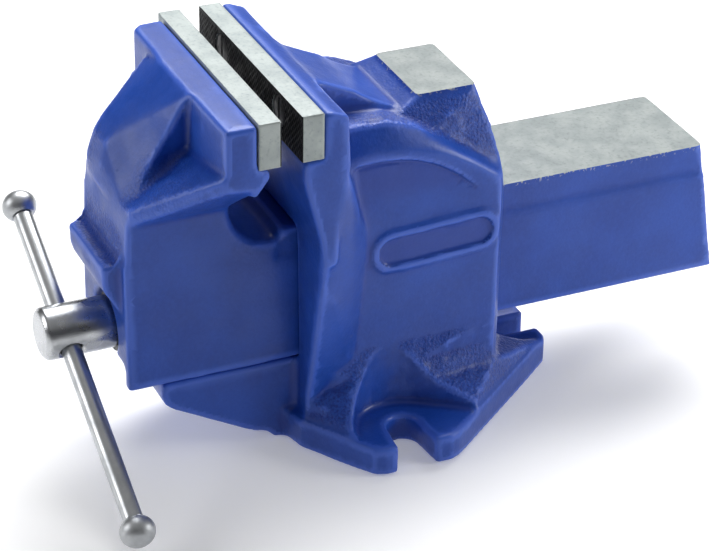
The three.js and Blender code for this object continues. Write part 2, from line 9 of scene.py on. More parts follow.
import bmesh
import bpy
import numpy as np
import openvdb as vdb
from mathutils import Matrix, Vector


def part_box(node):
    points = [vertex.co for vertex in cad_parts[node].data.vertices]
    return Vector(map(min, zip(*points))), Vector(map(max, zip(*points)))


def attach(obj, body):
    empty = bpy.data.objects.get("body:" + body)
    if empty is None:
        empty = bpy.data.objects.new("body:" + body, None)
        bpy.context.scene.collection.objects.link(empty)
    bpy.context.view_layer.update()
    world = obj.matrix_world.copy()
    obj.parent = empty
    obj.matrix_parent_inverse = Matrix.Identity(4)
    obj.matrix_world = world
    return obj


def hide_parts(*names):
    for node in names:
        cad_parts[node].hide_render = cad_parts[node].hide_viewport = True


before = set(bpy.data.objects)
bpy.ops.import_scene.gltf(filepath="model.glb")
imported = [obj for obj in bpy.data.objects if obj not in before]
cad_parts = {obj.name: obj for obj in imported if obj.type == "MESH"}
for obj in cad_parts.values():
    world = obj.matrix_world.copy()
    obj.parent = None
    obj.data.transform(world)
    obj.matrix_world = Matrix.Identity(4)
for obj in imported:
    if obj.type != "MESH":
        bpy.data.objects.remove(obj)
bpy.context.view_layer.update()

MM = 0.001


def low_high(node):
    """Lowest and highest corner of a CAD node, in millimetres."""
    low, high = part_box(node)
    return np.array(low) / MM, np.array(high) / MM


PLATE_LOW, PLATE_HIGH = low_high("fixed_jaw_plate")
SLIDE_PLATE_LOW, SLIDE_PLATE_HIGH = low_high("sliding_jaw_plate")
BODY_LOW, BODY_HIGH = low_high("fixed_body")
JAW_LOW, JAW_HIGH = low_high("sliding_jaw")
SCREW_LOW, SCREW_HIGH = low_high("main_screw")

AXIS_Z = (SCREW_LOW[2] + SCREW_HIGH[2]) / 2
HEAD_R = (SCREW_HIGH[2] - SCREW_LOW[2]) / 2
HEAD_FRONT_Y = SCREW_LOW[1]
SHAFT_END_Y = SCREW_HIGH[1]
SHOULDER_Y = -114.2
SHAFT_R = 7.0
THREAD_LEAD = 4.0
THREAD_DEPTH = 2.0
THREAD_FRONT_Y = -74.0
PIN_Y = -80.6
PIN_HOLE_R = 1.8

ANVIL_Z = 131.5
ANVIL_HALF = 18.4
ANVIL_Y = (0.9, 23.9)
SLIDE_TOP_Z = 89.1
SLIDE_TOP_HALF = 23.1
SLIDE_Y = (-44, 121)
SLIDE_GAP = 0.35                 # room between the slide's machined top and its tunnel
TUNNEL_Y = (-50, 40)

# raised panel on each side of the body: middles of its round ends (y, z), and how its middle is sunk
PANEL_ENDS = ((-15.9, 77.6), (19.2, 79.4))
PANEL_FIELD_R = 5.2
PANEL_RIM_R = 6.0
PANEL_SINK = 1.3

# arched step on each side of the body
ARCH_TOP = (-22, 115.6)          # y, z
ARCH_STEP = 1.1
ARCH_GROOVE = 0.8

CHEEK_BEND = (37, -40, 79)       # where the flared cheek runs out into the side
BROW_VALLEY = (-118.3, 87.4)     # y, z
BROW_LIP = (-122.2, 84.0)
RIB_CREST_Z = (115, 122.4, 128, 133.8, 143.8)
RIB_CREST_X = (-4, -5, -6.4, -9, -13)

PLATE_EASE = 0.35
SERRATION_PITCH = 2.6
SERRATION_HALF = 0.42
COUNTERSINK_R = 5.75
SCREW_HOLE_R = 3.25
SCREW_SINK = 0.5

BAR_Y = -131.9
BAR_R = 3.75
BAR_TILT = math.radians(28.3)
BAR_UP = 56.3
BAR_DOWN = 86.1
KNOB_R = 5.8                     # along the bar
KNOB_WIDE_R = 6.6                # across it
KNOB_FLAT = 4.6

SCREW_X = 27.5
SCREW_Z = 140.0

SPRING_TURNS = 4
SPRING_PITCH = 2.7
SPRING_R = 9.2
SPRING_WIRE_R = 0.95
SPRING_FRONT_Y = -97.6

# castings
VOXEL = 0.75
PLATE_VOXEL = 0.36
BAND = 6.0                       # how far from the surface the distances are kept
HOLLOW_R = 1.5
EDGE_R = 0.6
BARE = 1                         # second material slot of a casting or plate: its machined or gripping face


# ---------- numbers and noise ----------
def smoothstep(low, high, value):
    t = np.clip((value - low) / (high - low), 0, 1)
    return t * t * (3 - 2 * t)


def lattice_random(cells, seed):
    """One number from 0 to 1 for each whole-number cell, the same on every run."""
    big = cells.astype(np.int64)
    mixed = (big[:, 0] * 73856093) ^ (big[:, 1] * 19349663) ^ (big[:, 2] * 83492791) ^ (seed * 2654435761)
    mixed = (mixed ^ (mixed >> 13)) * 1274126177
    mixed = (mixed ^ (mixed >> 16)) & 0xFFFFFF
    return mixed.astype(np.float32) / 0xFFFFFF


def value_noise(points, size, seed):
    """Smooth noise from -1 to 1 whose bumps are about size across."""
    scaled = points / size
    base = np.floor(scaled)
    part = scaled - base
    part = part * part * (3 - 2 * part)
    total = np.zeros(len(points), np.float32)
    for corner in np.ndindex(2, 2, 2):
        weight = np.prod(np.where(np.array(corner) == 1, part, 1 - part), axis=1)
        total += weight * lattice_random(base + corner, seed)
    return 2 * total - 1


# ---------- signed distance fields on a voxel grid ----------
class Field:
    """A block of signed distances, negative inside, with the place of every voxel."""

    def __init__(self, low, high, voxel, margin=4.0):
        self.voxel = voxel
        self.first = np.floor((np.array(low) - margin) / voxel).astype(int)
        last = np.ceil((np.array(high) + margin) / voxel).astype(int)
        self.shape = tuple(last - self.first + 1)
        self.values = np.full(self.shape, margin, np.float32)

    def axes(self):
        """X, Y and Z of the voxels, shaped to broadcast."""
        lines = [(self.first[i] + np.arange(self.shape[i])) * self.voxel for i in range(3)]
        return (
            lines[0].astype(np.float32)[:, None, None],
            lines[1].astype(np.float32)[None, :, None],
            lines[2].astype(np.float32)[None, None, :],
        )

    def transform(self):
        return vdb.createLinearTransform(voxelSize=self.voxel)

    def read(self, grid):
        grid.copyToArray(self.values, ijk=tuple(int(i) for i in self.first))
        return self

    def polygons(self, iso=0.0, adaptivity=0.0):
        grid = vdb.FloatGrid(float(self.values.max()))
        grid.copyFromArray(self.values, ijk=tuple(int(i) for i in self.first))
        grid.transform = self.transform()
        return grid.convertToPolygons(iso, adaptivity)

    def level_set(self, points, triangles, quads, reach):
        grid = vdb.FloatGrid.createLevelSetFromPolygons(
            points, triangles=triangles, quads=quads,
            transform=self.transform(), halfWidth=reach / self.voxel,
        )
        return self.read(grid)

    def near(self, reach):
        """Indices and places of the voxels within reach of the surface."""
        index = np.argwhere(np.abs(self.values) < reach)
        return index, (index + self.first) * self.voxel


def blurred(values, voxel, size):
    """values averaged over about size millimetres; flat faces stay where they are, creases grow soft."""
    reach = max(1, round(size / voxel / 2))
    width = 2 * reach + 1
    for _ in range(2):
        for axis in range(3):
            edges = [(reach + 1, reach) if i == axis else (0, 0) for i in range(3)]
            sums = np.cumsum(np.pad(values, edges, mode="edge"), axis=axis, dtype=np.float64)
            upper = np.take(sums, range(width, sums.shape[axis]), axis=axis)
            lower = np.take(sums, range(0, sums.shape[axis] - width), axis=axis)
            values = ((upper - lower) / width).astype(np.float32)
    return values


def box_field(axes, low, high):
    """Signed distance to a box."""
    gaps = [np.maximum(low[i] - axes[i], axes[i] - high[i]) for i in range(3)]
    outside = np.sqrt(sum(np.maximum(gap, 0) ** 2 for gap in gaps))
    inside = np.minimum(np.maximum(np.maximum(gaps[0], gaps[1]), gaps[2]), 0)
    return (outside + inside).astype(np.float32)


def node_polygons(node):
    """Corners in millimetres and triangles of a CAD node."""
    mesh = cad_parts[node].data
    mesh.calc_loop_triangles()
    points = np.empty(3 * len(mesh.vertices), np.float32)
    mesh.vertices.foreach_get("co", points)
    triangles = np.empty(3 * len(mesh.loop_triangles), np.int32)
    mesh.loop_triangles.foreach_get("vertices", triangles)
    return points.reshape(-1, 3) / np.float32(MM), triangles.reshape(-1, 3).astype(np.uint32)


def rounded_casting(field, node, extensions, hollow_r, edge_r):
    """The node's shape with inner corners filled to hollow_r and outer edges rounded to edge_r."""
    points, triangles = node_polygons(node)
    spare = 3 * field.voxel
    field.level_set(points, triangles, None, hollow_r + spare)
    axes = field.axes()
    for low, high in extensions:
        field.values = np.minimum(field.values, box_field(axes, low, high))
    field.level_set(*field.polygons(hollow_r), hollow_r + edge_r + spare)
    field.level_set(*field.polygons(-hollow_r - edge_r), edge_r + BAND)
    field.values -= edge_r
    return field.values.copy()


# ---------- meshes ----------
def new_object(name, mesh):
    obj = bpy.data.objects.new(name, mesh)
    bpy.context.scene.collection.objects.link(obj)
    return obj


def mesh_from(name, points, faces, smooth_angle=40):
    mesh = bpy.data.meshes.new(name)
    mesh.from_pydata((np.asarray(points) * MM).tolist(), [], faces)
    mesh.validate()
    mesh.shade_smooth()
    mesh.set_sharp_from_angle(angle=math.radians(smooth_angle))
    return mesh


def field_mesh(name, field, adaptivity):
    points, triangles, quads = field.polygons(0.0, adaptivity)
    mesh = bpy.data.meshes.new(name)
    mesh.from_pydata((points * MM).tolist(), [], triangles.tolist() + quads.tolist())
    mesh.validate()
    mesh.shade_smooth()
    return mesh


def face_off(mesh, z, region, slot):
    """Cuts the mesh off flat at height z inside region (x, y), and gives the new flat face material slot."""
    low, high = np.array(region) * MM
    work = bmesh.new()
    work.from_mesh(mesh)

    def inside(face):
        middle = face.calc_center_median()
        reaches = max(vert.co.z for vert in face.verts) > z * MM
        return reaches and low[0] <= middle.x <= high[0] and low[1] <= middle.y <= high[1]

    faces = [face for face in work.faces if inside(face)]
    edges = {edge for face in faces for edge in face.edges}
    verts = {vert for face in faces for vert in face.verts}
    bmesh.ops.bisect_plane(
        work, geom=faces + list(edges) + list(verts), dist=1e-7,
        plane_co=(0, 0, z * MM), plane_no=(0, 0, 1), clear_outer=True,
    )
    rim = [edge for edge in work.edges if edge.is_boundary]
    fill = bmesh.ops.holes_fill(work, edges=rim, sides=0)
    for face in fill["faces"]:
        face.normal_update()
        if face.normal.z < 0:
            face.normal_flip()
        face.material_index = slot
        face.smooth = False
        for edge in face.edges:
            edge.smooth = False
    work.to_mesh(mesh)
    work.free()


# ---------- materials ----------
class Nodes:
    """Short calls for building a node tree."""

    def __init__(self, name):
        self.material = bpy.data.materials.new(name)
        self.material.use_nodes = True
        self.tree = self.material.node_tree
        self.shader = self.tree.nodes["Principled BSDF"]
        self.place = self.tree.nodes.new("ShaderNodeTexCoord").outputs["Object"]

    def put(self, socket, value):
        if hasattr(value, "is_linked"):
            self.tree.links.new(value, socket)
        else:
            socket.default_value = value

    def set(self, **values):
        names = {
            "color": "Base Color", "metal": "Metallic", "rough": "Roughness", "normal": "Normal",
            "coat": "Coat Weight", "coat_rough": "Coat Roughness", "specular": "Specular IOR Level",
        }
        for key, value in values.items():
            self.put(self.shader.inputs[names[key]], value)
        return self.material

    def noise(self, size, detail=2.0, stretch=(1, 1, 1), rough=0.5):
        """Noise whose bumps are about size millimetres across."""
        mapping = self.tree.nodes.new("ShaderNodeMapping")
        self.tree.links.new(self.place, mapping.inputs["Vector"])
        mapping.inputs["Scale"].default_value = stretch
        node = self.tree.nodes.new("ShaderNodeTexNoise")
        node.inputs["Scale"].default_value = 1 / (size * MM)
        node.inputs["Detail"].default_value = detail
        node.inputs["Roughness"].default_value = rough
        self.tree.links.new(mapping.outputs["Vector"], node.inputs["Vector"])
        return node.outputs["Fac"]

    def attribute(self, name):
        node = self.tree.nodes.new("ShaderNodeAttribute")
        node.attribute_name = name
        return node.outputs["Fac"]

    def math(self, operation, a, b=0.0, clamp=False):
        node = self.tree.nodes.new("ShaderNodeMath")
        node.operation = operation
        node.use_clamp = clamp
        self.put(node.inputs[0], a)
        self.put(node.inputs[1], b)
        return node.outputs[0]

    def ramp(self, value, low, high, start=0.0, end=1.0):
        """value from low to high, carried smoothly to start to end."""
        node = self.tree.nodes.new("ShaderNodeMapRange")
        node.interpolation_type = "SMOOTHSTEP"
        self.put(node.inputs["Value"], value)
        for name, number in zip(("From Min", "From Max", "To Min", "To Max"), (low, high, start, end)):
            self.put(node.inputs[name], number)
        return node.outputs["Result"]

    def mix(self, factor, a, b):
        node = self.tree.nodes.new("ShaderNodeMix")
        node.data_type = "RGBA"
        self.put(node.inputs["Factor"], factor)
        self.put(node.inputs["A"], (*a, 1) if isinstance(a, tuple) else a)
        self.put(node.inputs["B"], (*b, 1) if isinstance(b, tuple) else b)
        return node.outputs["Result"]

    def bump(self, height, strength, distance, under=None):
        node = self.tree.nodes.new("ShaderNodeBump")
        node.inputs["Distance"].default_value = distance * MM
        self.put(node.inputs["Strength"], strength)
        self.put(node.inputs["Height"], height)
        if under is not None:
            self.tree.links.new(under, node.inputs["Normal"])
        return node.outputs["Normal"]


def enamel():
    """Glossy blue enamel over a sand-cast skin, chipped to bare iron along machined edges, with painted
    highlights lightening outer edges and painted shade darkening creases.
    """
    n = Nodes("blue_enamel")
    sand = n.math("ADD", n.attribute("sand"), 0.14, clamp=True)
    chips = n.math("MULTIPLY", n.attribute("chip"), n.ramp(n.noise(1.3, 3.0), 0.58, 0.64))
    cloud = n.noise(26, 4.0)
    fine = n.noise(2.2, 3.0)
    paint = n.mix(n.ramp(cloud, 0.3, 0.7), (0.0065, 0.048, 0.305), (0.0115, 0.067, 0.395))
    paint = n.mix(n.ramp(fine, 0.35, 0.75, 0, 0.3), paint, (0.017, 0.076, 0.44))
    grains = n.noise(0.9, 3.0)
    paint = n.mix(n.math("MULTIPLY", sand, n.ramp(grains, 0.42, 0.66, 0, 0.75)), paint, (0.005, 0.022, 0.20))
    # painted highlight: outer edges are lightened where light would catch them
    bend = n.attribute("bend")
    paint = n.mix(n.ramp(bend, 0.12, 0.75, 0, 0.8), paint, (0.05, 0.125, 0.56))
    # painted shade: creases are darkened where shade would fall
    crease_shade = n.math("MULTIPLY", bend, -1.0)
    paint = n.mix(n.ramp(crease_shade, 0.08, 0.7, 0, 0.5), paint, (0.002, 0.024, 0.24))
    color = n.mix(chips, paint, (0.36, 0.38, 0.37))
    rough = n.ramp(n.noise(9, 2.0), 0.3, 0.7, 0.36, 0.46)
    rough = n.math("ADD", rough, n.math("MULTIPLY", chips, 0.15))
    peel = n.bump(n.noise(1.9, 2.0), 0.3, 0.18)
    skin = n.bump(n.noise(1.2, 3.0), n.math("MULTIPLY", sand, 0.95), 0.7, peel)
    return n.set(color=color, rough=rough, metal=chips, normal=skin, specular=0.34, coat=0.12, coat_rough=0.2)


def milled_iron(name, along, shade=1.0):
    """Bare grey iron with fine cutter marks; along names the axis that the marks run on."""
    n = Nodes(name)
    stretch = tuple(0.04 if axis == along else 1.0 for axis in "xyz")
    marks = n.noise(0.55, 2.0, stretch)
    grain = n.noise(1.3, 4.0)
    cloud = n.noise(11, 3.0)
    tone = n.mix(n.ramp(cloud, 0.32, 0.68), (0.18 * shade, 0.205 * shade, 0.205 * shade),
                 (0.24 * shade, 0.265 * shade, 0.26 * shade))
    tone = n.mix(n.ramp(grain, 0.55, 0.75, 0, 0.5), tone, (0.13 * shade, 0.15 * shade, 0.155 * shade))
    rough = n.ramp(grain, 0.3, 0.7, 0.44, 0.6)
    rows = n.bump(marks, 0.3, 0.09)
    return n.set(color=tone, metal=0.35, rough=rough, normal=n.bump(grain, 0.2, 0.1, rows))


def polished_steel(name, size=0.4, stretch=(1, 1, 1), rough=0.16):
    """Bright turned steel with faint tool marks and a few dull blotches."""
    n = Nodes(name)
    marks = n.noise(size, 2.0, stretch)
    cloud = n.noise(7, 3.0)
    tone = n.mix(n.ramp(cloud, 0.35, 0.7), (0.50, 0.515, 0.53), (0.40, 0.415, 0.43))
    gloss = n.ramp(cloud, 0.35, 0.75, rough, rough + 0.1)
    return n.set(color=tone, metal=1.0, rough=gloss, normal=n.bump(marks, 0.12, 0.05))


def dark_steel(name="dark_steel", tone=(0.035, 0.037, 0.042), rough=0.42):
    """Blackened steel, rubbed lighter here and there."""
    n = Nodes(name)
    rub = n.ramp(n.noise(2.4, 4.0), 0.55, 0.72, 0, 0.5)
    color = n.mix(rub, tone, tuple(3.2 * c for c in tone))
    return n.set(color=color, metal=0.6, rough=n.ramp(n.noise(3, 2.0), 0.3, 0.7, rough - 0.06, rough + 0.1),
                 normal=n.bump(n.noise(0.7, 3.0), 0.2, 0.1))


ENAMEL = enamel()
MILLED_ANVIL = milled_iron("milled_iron_anvil", "x")
MILLED_SLIDE = milled_iron("milled_iron_slide", "y")
GROUND_PLATE = milled_iron("ground_steel", "x", 1.5)
DARK_STEEL = dark_steel("dark_steel", (0.02, 0.021, 0.025), 0.42)
# the plates' gripping faces: steel painted almost black, as painted shade in the narrow gap between the jaws
GRIP_PAINTED_SHADE = dark_steel("grip_painted_shade", (0.008, 0.009, 0.012), 0.6)
BAR_STEEL = polished_steel("bar_steel", 0.5, (1, 1, 1), 0.31)
BALL_STEEL = polished_steel("ball_steel", 0.6, (1, 1, 1), 0.4)
HEAD_STEEL = polished_steel("head_steel", 0.5, (0.3, 1, 0.3), 0.26)
BARE_IRON = milled_iron("bare_iron", "z", 0.6)


def dress(obj, *materials):
    """Gives obj its materials, keeping the slot number that each face already has."""
    if obj.data.materials:
        obj.data.materials.clear()
    for material in materials:
        obj.data.materials.append(material)


def point_attribute(mesh, name, values):
    layer = mesh.attributes.new(name, "FLOAT", "POINT")
    layer.data.foreach_set("value", np.asarray(values, np.float32))


def mesh_points(mesh):
    points = np.empty(3 * len(mesh.vertices), np.float32)
    mesh.vertices.foreach_get("co", points)
    return points.reshape(-1, 3) / np.float32(MM)


def upward(mesh):
    """How far each point's normal leans upwards, from -1 to 1."""
    normals = np.empty(3 * len(mesh.vertices), np.float32)
    mesh.vertex_normals.foreach_get("vector", normals)
    return normals.reshape(-1, 3)[:, 2]


def bend_at(field, points, size=2.4):
    """How sharply the surface bends at each point: towards 1 on outer edges, towards -1 in creases. The
    enamel lightens outer edges by it as painted highlight and darkens creases by it as painted shade.
    """
    bend = blurred(field.values, field.voxel, size) - field.values
    index = np.rint(points / field.voxel).astype(int) - field.first
    index = np.clip(index, 0, np.array(field.shape) - 1)
    return np.clip(bend[tuple(index.T)] / 0.45, -1, 1)


# ---------- castings ----------
def between(low, rising, falling, high, value):
    """1 from rising to falling, easing to 0 at low and at high."""
    return smoothstep(low, rising, value) * (1 - smoothstep(falling, high, value))


def body_sand(points):
    """Where the body's skin is left rough: the anvil's flanks and the foot above each side lug."""
    x, y, z = np.abs(points[:, 0]), points[:, 1], points[:, 2]
    flank = smoothstep(18.2, 19.4, x) * smoothstep(104, 108, z) * smoothstep(-38, -34, y)
    flank *= (1 - smoothstep(29.5, 31, x)) * smoothstep(0, 3, x - 19 + np.minimum(y, 0) * 0.05)
    foot = smoothstep(34.4, 35.2, x) * between(13, 15, 37, 43, z)
    back = smoothstep(29.5, 31.5, y) * between(12, 14, 40, 60, z)
    return np.clip(flank + foot + 0.5 * back, 0, 1)


def sliding_fit(points):
    """1 where the slide and its tunnel face each other: dressed flat, with a little more room."""
    x, y, z = np.abs(points[:, 0]), points[:, 1], points[:, 2]
    return (1 - smoothstep(27, 29, x)) * smoothstep(-54, -49, y) * between(16, 19, 91, 94, z)


def cast_skin(field, sand_at, wave=0.12, grit=0.2):
    """Presses the unevenness of a sand mould into the field's surface."""
    index, places = field.near(2.5 * field.voxel)
    sand = sand_at(places)
    height = wave * value_noise(places, 17.0, 3) + 0.4 * wave * value_noise(places, 6.0, 5)
    height += sand * (grit * value_noise(places, 2.3, 7) + 0.5 * grit * value_noise(places, 4.1, 9))
    fit = sliding_fit(places)
    height = height * (1 - 0.8 * fit) - 0.15 * fit
    field.values[tuple(index.T)] -= height.astype(np.float32)


def body_softness(axes):
    """Two masks, for the shoulders and for the bend of each cheek, where slopes meet without an edge."""
    x, y, z = axes
    shoulder = smoothstep(26, 29, np.abs(x)) * between(94, 98, 121, 125, z) * smoothstep(-47, -42, y)
    bend_x, bend_y, bend_z = CHEEK_BEND
    reach = np.sqrt((np.abs(x) - bend_x) ** 2 + (y - bend_y) ** 2 + (z - bend_z) ** 2)
    cheek = 1 - smoothstep(9, 15, reach)
    return shoulder.astype(np.float32), cheek.astype(np.float32)


def arch_step(field):
    """A shallow step along the top of each side, which leaves the flat side slightly sunk below an arch."""
    x, y, z = field.axes()
    top_y, top_z = ARCH_TOP
    arch = top_z - 0.0082 * (y - top_y) ** 2 - 0.000075 * np.maximum(y - top_y, 0) ** 3
    along = between(-33.5, -29, 10, 24, y) * smoothstep(32.2, 33.6, np.abs(x))
    sunk = smoothstep(0.0, 0.9, arch - z) * smoothstep(0.0, 26.0, z - 84)
    groove = np.exp(-((arch - 0.8 - z) / 0.9) ** 2)
    field.values += (ARCH_STEP * sunk + ARCH_GROOVE * groove) * along


def panel_recess(field):
    """Sinks the middle of the raised panel on each side, leaving a rim round a blank field."""
    x, y, z = field.axes()
    front, rear = PANEL_ENDS
    run, rise = rear[0] - front[0], rear[1] - front[1]
    share = np.clip(((y - front[0]) * run + (z - front[1]) * rise) / (run * run + rise * rise), 0, 1)
    reach = np.sqrt((y - front[0] - share * run) ** 2 + (z - front[1] - share * rise) ** 2)
    sunk = 1 - smoothstep(PANEL_FIELD_R, PANEL_RIM_R, reach)
    field.values += PANEL_SINK * sunk * smoothstep(33.6, 34.6, np.abs(x))


def make_body():
    field = Field(BODY_LOW, BODY_HIGH, VOXEL)
    top = ((-ANVIL_HALF, ANVIL_Y[0], ANVIL_Z - 6), (ANVIL_HALF, ANVIL_Y[1], ANVIL_Z + 7))
    crisp = rounded_casting(field, "fixed_body", [top], HOLLOW_R, EDGE_R)
    shoulder, cheek = body_softness(field.axes())
    field.values += (blurred(crisp, VOXEL, 2.6) - crisp) * shoulder
    field.values += (blurred(crisp, VOXEL, 7.0) - crisp) * cheek
    arch_step(field)
    panel_recess(field)
    cast_skin(field, body_sand)
    # the tunnel's top corners stay square, since the slide's machined corners run in them
    room = SLIDE_TOP_HALF + SLIDE_GAP
    low = (-room, TUNNEL_Y[0], SLIDE_TOP_Z - 4)
    high = (room, TUNNEL_Y[1], SLIDE_TOP_Z + SLIDE_GAP)
    field.values = np.maximum(field.values, -box_field(field.axes(), low, high))
    mesh = field_mesh("fixed_body_casting", field, 0.012)
    face_off(mesh, ANVIL_Z, ((-40, -2), (40, 40)), BARE)
    points = mesh_points(mesh)
    # low down, only what leans upwards is rough: the upright walls round each bolt are smooth
    slope = smoothstep(0.12, 0.3, upward(mesh))
    point_attribute(mesh, "sand", body_sand(points) * np.where(points[:, 2] < 60, slope, 1))
    # bend drives the enamel's painted highlights on outer edges and painted shade in creases
    point_attribute(mesh, "bend", bend_at(field, points))
    rim = smoothstep(ANVIL_Z - 0.9, ANVIL_Z - 0.1, points[:, 2]) * smoothstep(-3, 0, points[:, 1])
    point_attribute(mesh, "chip", rim * (np.abs(points[:, 0]) < ANVIL_HALF + 2))
    body = new_object("fixed_body_casting", mesh)
    dress(body, ENAMEL, MILLED_ANVIL)
    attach(body, "base")
    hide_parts("fixed_body")


def jaw_sand(points):
    """Rough skin in the valley behind the brow and on the floor of the neck's pockets."""
    x, y, z = np.abs(points[:, 0]), points[:, 1], points[:, 2]
    valley = between(-122.4, -120.5, -113, -111, y) * smoothstep(81, 84, z) * (z < 96)
    valley *= 1 - smoothstep(18, 19.5, x)
    pocket = smoothstep(8, 14, x) * between(104, 108, 122, 126, z) * (y < -80)
    return np.clip(valley + 0.5 * pocket, 0, 1)


def rib_edge(field):
    """Eases back the right flank of the neck's rib, so that its crest stands out as an edge."""
    x, y, z = field.axes()
    crest = np.interp(z.ravel(), RIB_CREST_Z, RIB_CREST_X)[None, None, :]
    run = np.clip((x - crest) / 14, 0, 1) * (1 - smoothstep(17, 25, x))
    height = between(100, 116, 124, 142, z) * (1 - smoothstep(-97, -89, y))
    field.values += (1.7 * run * height).astype(np.float32)


def brow_valley(field):
    """Hollows the shelf behind the brow over the spindle, and raises its lip a little."""
    x, y, z = field.axes()
    across = 1 - smoothstep(17.5, 19, np.abs(x))
    valley = np.exp(-((y - BROW_VALLEY[0]) ** 2 + (z - BROW_VALLEY[1]) ** 2) / 2.4 ** 2)
    lip = np.exp(-((y - BROW_LIP[0]) ** 2 + (z - BROW_LIP[1]) ** 2) / 1.6 ** 2)
    field.values += ((3.6 * valley - 0.6 * lip) * across).astype(np.float32)


def jaw_softness(axes):
    """1 in the throat behind the front jaw, and less in the pockets beside the rib."""
    x, y, z = axes
    throat = between(83, 86, 112, 118, z) * between(-80, -77, -57, -54, y)
    pockets = between(99, 104, 119, 124, z) * (1 - smoothstep(-92, -88, y)) * smoothstep(9, 12, np.abs(x))
    return np.maximum(throat, 0.7 * pockets)


def make_sliding_jaw():
    field = Field(JAW_LOW, JAW_HIGH, VOXEL)
    top = ((-SLIDE_TOP_HALF, SLIDE_Y[0], SLIDE_TOP_Z - 6), (SLIDE_TOP_HALF, SLIDE_Y[1], SLIDE_TOP_Z + 7))
    crisp = rounded_casting(field, "sliding_jaw", [top], HOLLOW_R, EDGE_R)
    soft = blurred(crisp, VOXEL, 3.2)
    field.values = (crisp + (soft - crisp) * jaw_softness(field.axes())).astype(np.float32)
    rib_edge(field)
    brow_valley(field)
    cast_skin(field, jaw_sand)
    mesh = field_mesh("sliding_jaw_casting", field, 0.012)
    face_off(mesh, SLIDE_TOP_Z, ((-40, -47), (40, 140)), BARE)
    points = mesh_points(mesh)
    point_attribute(mesh, "sand", jaw_sand(points))
    # bend drives the enamel's painted highlights on outer edges and painted shade in creases
    point_attribute(mesh, "bend", bend_at(field, points))
    rim = smoothstep(SLIDE_TOP_Z - 0.9, SLIDE_TOP_Z - 0.1, points[:, 2]) * (points[:, 1] > -46)
    point_attribute(mesh, "chip", rim * (points[:, 2] < SLIDE_TOP_Z + 0.1))
    jaw = new_object("sliding_jaw_casting", mesh)
    dress(jaw, ENAMEL, MILLED_SLIDE)
    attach(jaw, "jaw")
    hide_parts("sliding_jaw")


# ---------- jaw plates ----------
def make_plate(name, node, body, side, low, high):
    """A ground plate with eased edges, countersunk holes and a serrated face that looks to side."""
    field = Field(low, high, PLATE_VOXEL, 1.5)
    x, y, z = field.axes()
    shape = box_field((x, y, z), low + PLATE_EASE, high - PLATE_EASE) - PLATE_EASE
    grip = high[1] if side > 0 else low[1]
    depth = (grip - y) * side
    # two sets of grooves cross at right angles and stop short of the plate's rim
    rows = [np.abs(((x + way * z) / SERRATION_PITCH) % 1 - 0.5) for way in (1, -1)]
    groove = np.minimum(*rows) * SERRATION_PITCH * math.sqrt(0.5)
    rim = np.minimum(np.minimum(x - low[0], high[0] - x), np.minimum(z - low[2], high[2] - z))
    cut = (SERRATION_HALF - groove) * 0.7 - depth - 10 * (1 - smoothstep(0.6, 0.9, rim))
    shape = np.maximum(shape, cut)
    for screw_x in (-SCREW_X, SCREW_X):
        radius = np.sqrt((x - screw_x) ** 2 + (z - SCREW_Z) ** 2)
        wall = np.maximum(COUNTERSINK_R - np.maximum(depth - 1.1, 0) * 0.95, SCREW_HOLE_R)
        shape = np.maximum(shape, (wall - radius) * 0.75)
    field.values = shape.astype(np.float32)
    mesh = field_mesh(name, field, 0.006)
    mesh.set_sharp_from_angle(angle=math.radians(50))
    plate = new_object(name, mesh)
    dress(plate, GROUND_PLATE, GRIP_PAINTED_SHADE)
    # faces on the gripping side get the second slot, the near-black steel that paints shade between the jaws
    for face in mesh.polygons:
        reach = (grip - face.center[1] / MM) * side
        if reach < 0.5 and face.normal[1] * side > 0.3:
            face.material_index = BARE
    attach(plate, body)
    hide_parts(node)


# ---------- turned pieces ----------
def eased(outline, radius, steps=4):
    """The (radius, height) outline with its inner corners replaced by arcs."""
    points = [Vector(p) for p in outline]
    smooth = [points[0]]
    for before, corner, after in zip(points, points[1:], points[2:]):
        into, out = (before - corner), (after - corner)
        reach = min(radius, into.length * 0.45, out.length * 0.45)
        start, end = corner + into.normalized() * reach, corner + out.normalized() * reach
        for i in range(steps + 1):
            t = i / steps
            smooth.append((1 - t) ** 2 * start + 2 * t * (1 - t) * corner + t * t * end)
    smooth.append(points[-1])
    return [(p.x, p.y) for p in smooth]


def turned(name, outline, sides=72, smooth_angle=35):
    """A solid of revolution about Z; the outline starts and ends on the axis."""
    points, faces, rings = [], [], []
    for radius, height in outline:
        if radius < 1e-6:
            rings.append([len(points)])
            points.append((0, 0, height))
            continue
        rings.append([len(points) + k for k in range(sides)])
        for k in range(sides):
            angle = 2 * math.pi * k / sides
            points.append((radius * math.cos(angle), radius * math.sin(angle), height))
    for low, high in zip(rings, rings[1:]):
        for k in range(sides):
            a, b = low[k % len(low)], low[(k + 1) % len(low)]
            c, d = high[(k + 1) % len(high)], high[k % len(high)]
            corners = list(dict.fromkeys((a, b, c, d)))
            if len(corners) > 2:
                faces.append(corners)
    return mesh_from(name, points, faces, smooth_angle)


def along_screw(y):
    """Local Z laid along the spindle towards +Y, from y."""
    return Matrix.Translation((0, y * MM, AXIS_Z * MM)) @ Matrix.Rotation(-math.pi / 2, 4, "X")


def along_bar():
    """Local Z laid along the tommy bar towards its upper knob."""
    lean = BAR_TILT - math.pi / 2
    return Matrix.Translation((0, BAR_Y * MM, AXIS_Z * MM)) @ Matrix.Rotation(lean, 4, "Y")


